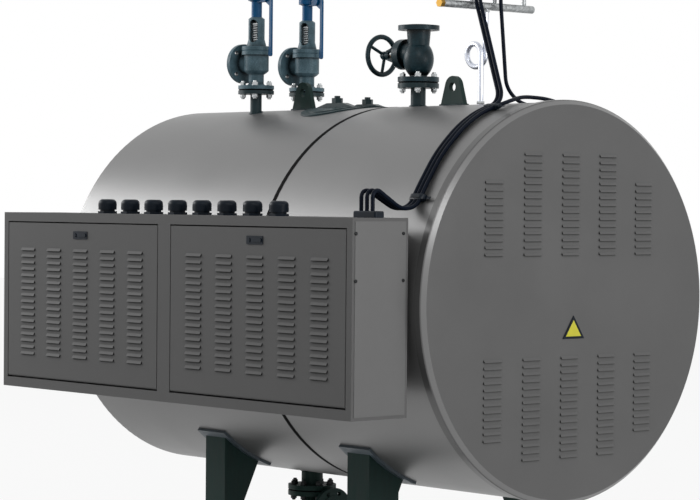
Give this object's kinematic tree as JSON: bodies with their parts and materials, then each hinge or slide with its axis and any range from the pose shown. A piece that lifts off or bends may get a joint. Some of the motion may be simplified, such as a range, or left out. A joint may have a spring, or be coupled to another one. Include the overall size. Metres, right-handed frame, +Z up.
{
  "type": "horizontal electric steam boiler",
  "caption": "Horizontal electric steam boiler: lagged drum on legs with louvred end cover, side cabinet with drop-down louvred doors, safety valves, stop valve, manhole and pressure manifold.",
  "frame": {"origin": "centre of the anchor hole pattern, on the floor below the drum's axis", "axes": "+X along the drum to the louvred end, the cabinet hangs on the -Y side, +Z up"},
  "size_m": [2.23, 1.7939, 2.358],
  "materials": {
    "shell_paint": "satin grey",
    "cover_paint": "satin dark grey",
    "cabinet_paint": "satin grey",
    "black_seal": "matt black",
    "raw_steel": "mill finish",
    "bright_steel": "bright",
    "pad_paint": "blue-grey paint",
    "leg_paint": "dark blue-green paint",
    "fitting_paint": "dark teal paint",
    "valve_casting": "grey-green cast",
    "steam_casting": "dark teal cast",
    "lever_blue": "blue paint",
    "galvanised": "zinc",
    "brass": "plain",
    "black_plastic": "black",
    "switch_plastic": "dark grey",
    "gauge_case": "plated",
    "cable_jacket": "blue-black"
  },
  "bodies": {
    "boiler": {"shell_rear": "shell_paint", "shell_front": "shell_paint", "joint_band": "black_seal", "front_head": "raw_steel", "front_cover": "cover_paint", "rear_cover": "cover_paint", "leg_pads": "pad_paint", "support_legs": "leg_paint", "foot_plates": "leg_paint", "cabinet_shell": "cabinet_paint", "end_panels": "cabinet_paint", "cabinet_saddle": "cabinet_paint", "hinge_pins": "bright_steel", "cable_glands": "black_plastic", "cable_entry": "black_plastic", "signal_cables": "cable_jacket", "cable_ties": "black_plastic", "safety_valve_stubs": "fitting_paint", "safety_valve_body_near": "valve_casting", "safety_valve_body_far": "valve_casting", "safety_valve_bonnet_near": "valve_casting", "safety_valve_bonnet_far": "valve_casting", "safety_valve_spring_near": "bright_steel", "safety_valve_spring_far": "bright_steel", "safety_valve_cap_near": "lever_blue", "safety_valve_cap_far": "lever_blue", "steam_stub": "fitting_paint", "steam_valve_body": "steam_casting", "steam_valve_bonnet": "steam_casting", "lifting_lugs": "fitting_paint", "manhole_ring": "fitting_paint", "manhole_cover": "fitting_paint", "manhole_bridges": "fitting_paint", "siphon_pipe": "bright_steel", "manifold": "galvanised", "manifold_plug": "brass", "pressure_switch_near": "switch_plastic", "pressure_switch_far": "switch_plastic", "pressure_gauge": "gauge_case", "drain_stub": "fitting_paint", "drain_elbow": "fitting_paint"},
    "door_left": {"door_left": "cabinet_paint", "latch_left": "black_plastic"},
    "door_right": {"door_right": "cabinet_paint", "latch_right": "black_plastic"},
    "safety_lever_near": {"safety_lever_near": "lever_blue"},
    "safety_lever_far": {"safety_lever_far": "lever_blue"},
    "steam_stem": {"steam_stem": "bright_steel"},
    "steam_handwheel": {"steam_handwheel": "steam_casting"}
  },
  "joints": [
    {"name": "door_left_hinge", "type": "hinge", "parent": "boiler", "child": "door_left", "pos_m": [-0.613, -1.022, 0.702], "axis": [1, 0, 0], "range_deg": [0, 90]},
    {"name": "door_right_hinge", "type": "hinge", "parent": "boiler", "child": "door_right", "pos_m": [0.471, -1.022, 0.702], "axis": [1, 0, 0], "range_deg": [0, 90]},
    {"name": "safety_lever_near_swing", "type": "hinge", "parent": "boiler", "child": "safety_lever_near", "pos_m": [-0.544, -0.14, 2.266], "axis": [0, -1, 0], "range_deg": [0, 30]},
    {"name": "safety_lever_far_swing", "type": "hinge", "parent": "boiler", "child": "safety_lever_far", "pos_m": [-0.544, 0.14, 2.266], "axis": [0, -1, 0], "range_deg": [0, 30]},
    {"name": "steam_stem_slide", "type": "slide", "parent": "boiler", "child": "steam_stem", "axis": [-1, 0, 0], "range_m": [0, 0.0181]},
    {"name": "steam_wheel_turn", "type": "hinge", "parent": "steam_stem", "child": "steam_handwheel", "pos_m": [0.039, 0, 2.01], "axis": [-1, 0, 0], "range_deg": [0, 1080]}
  ],
  "couplings": [
    {"joint": "steam_stem_slide", "follows": "steam_wheel_turn", "m_per_rad": 0.00095493}
  ]
}
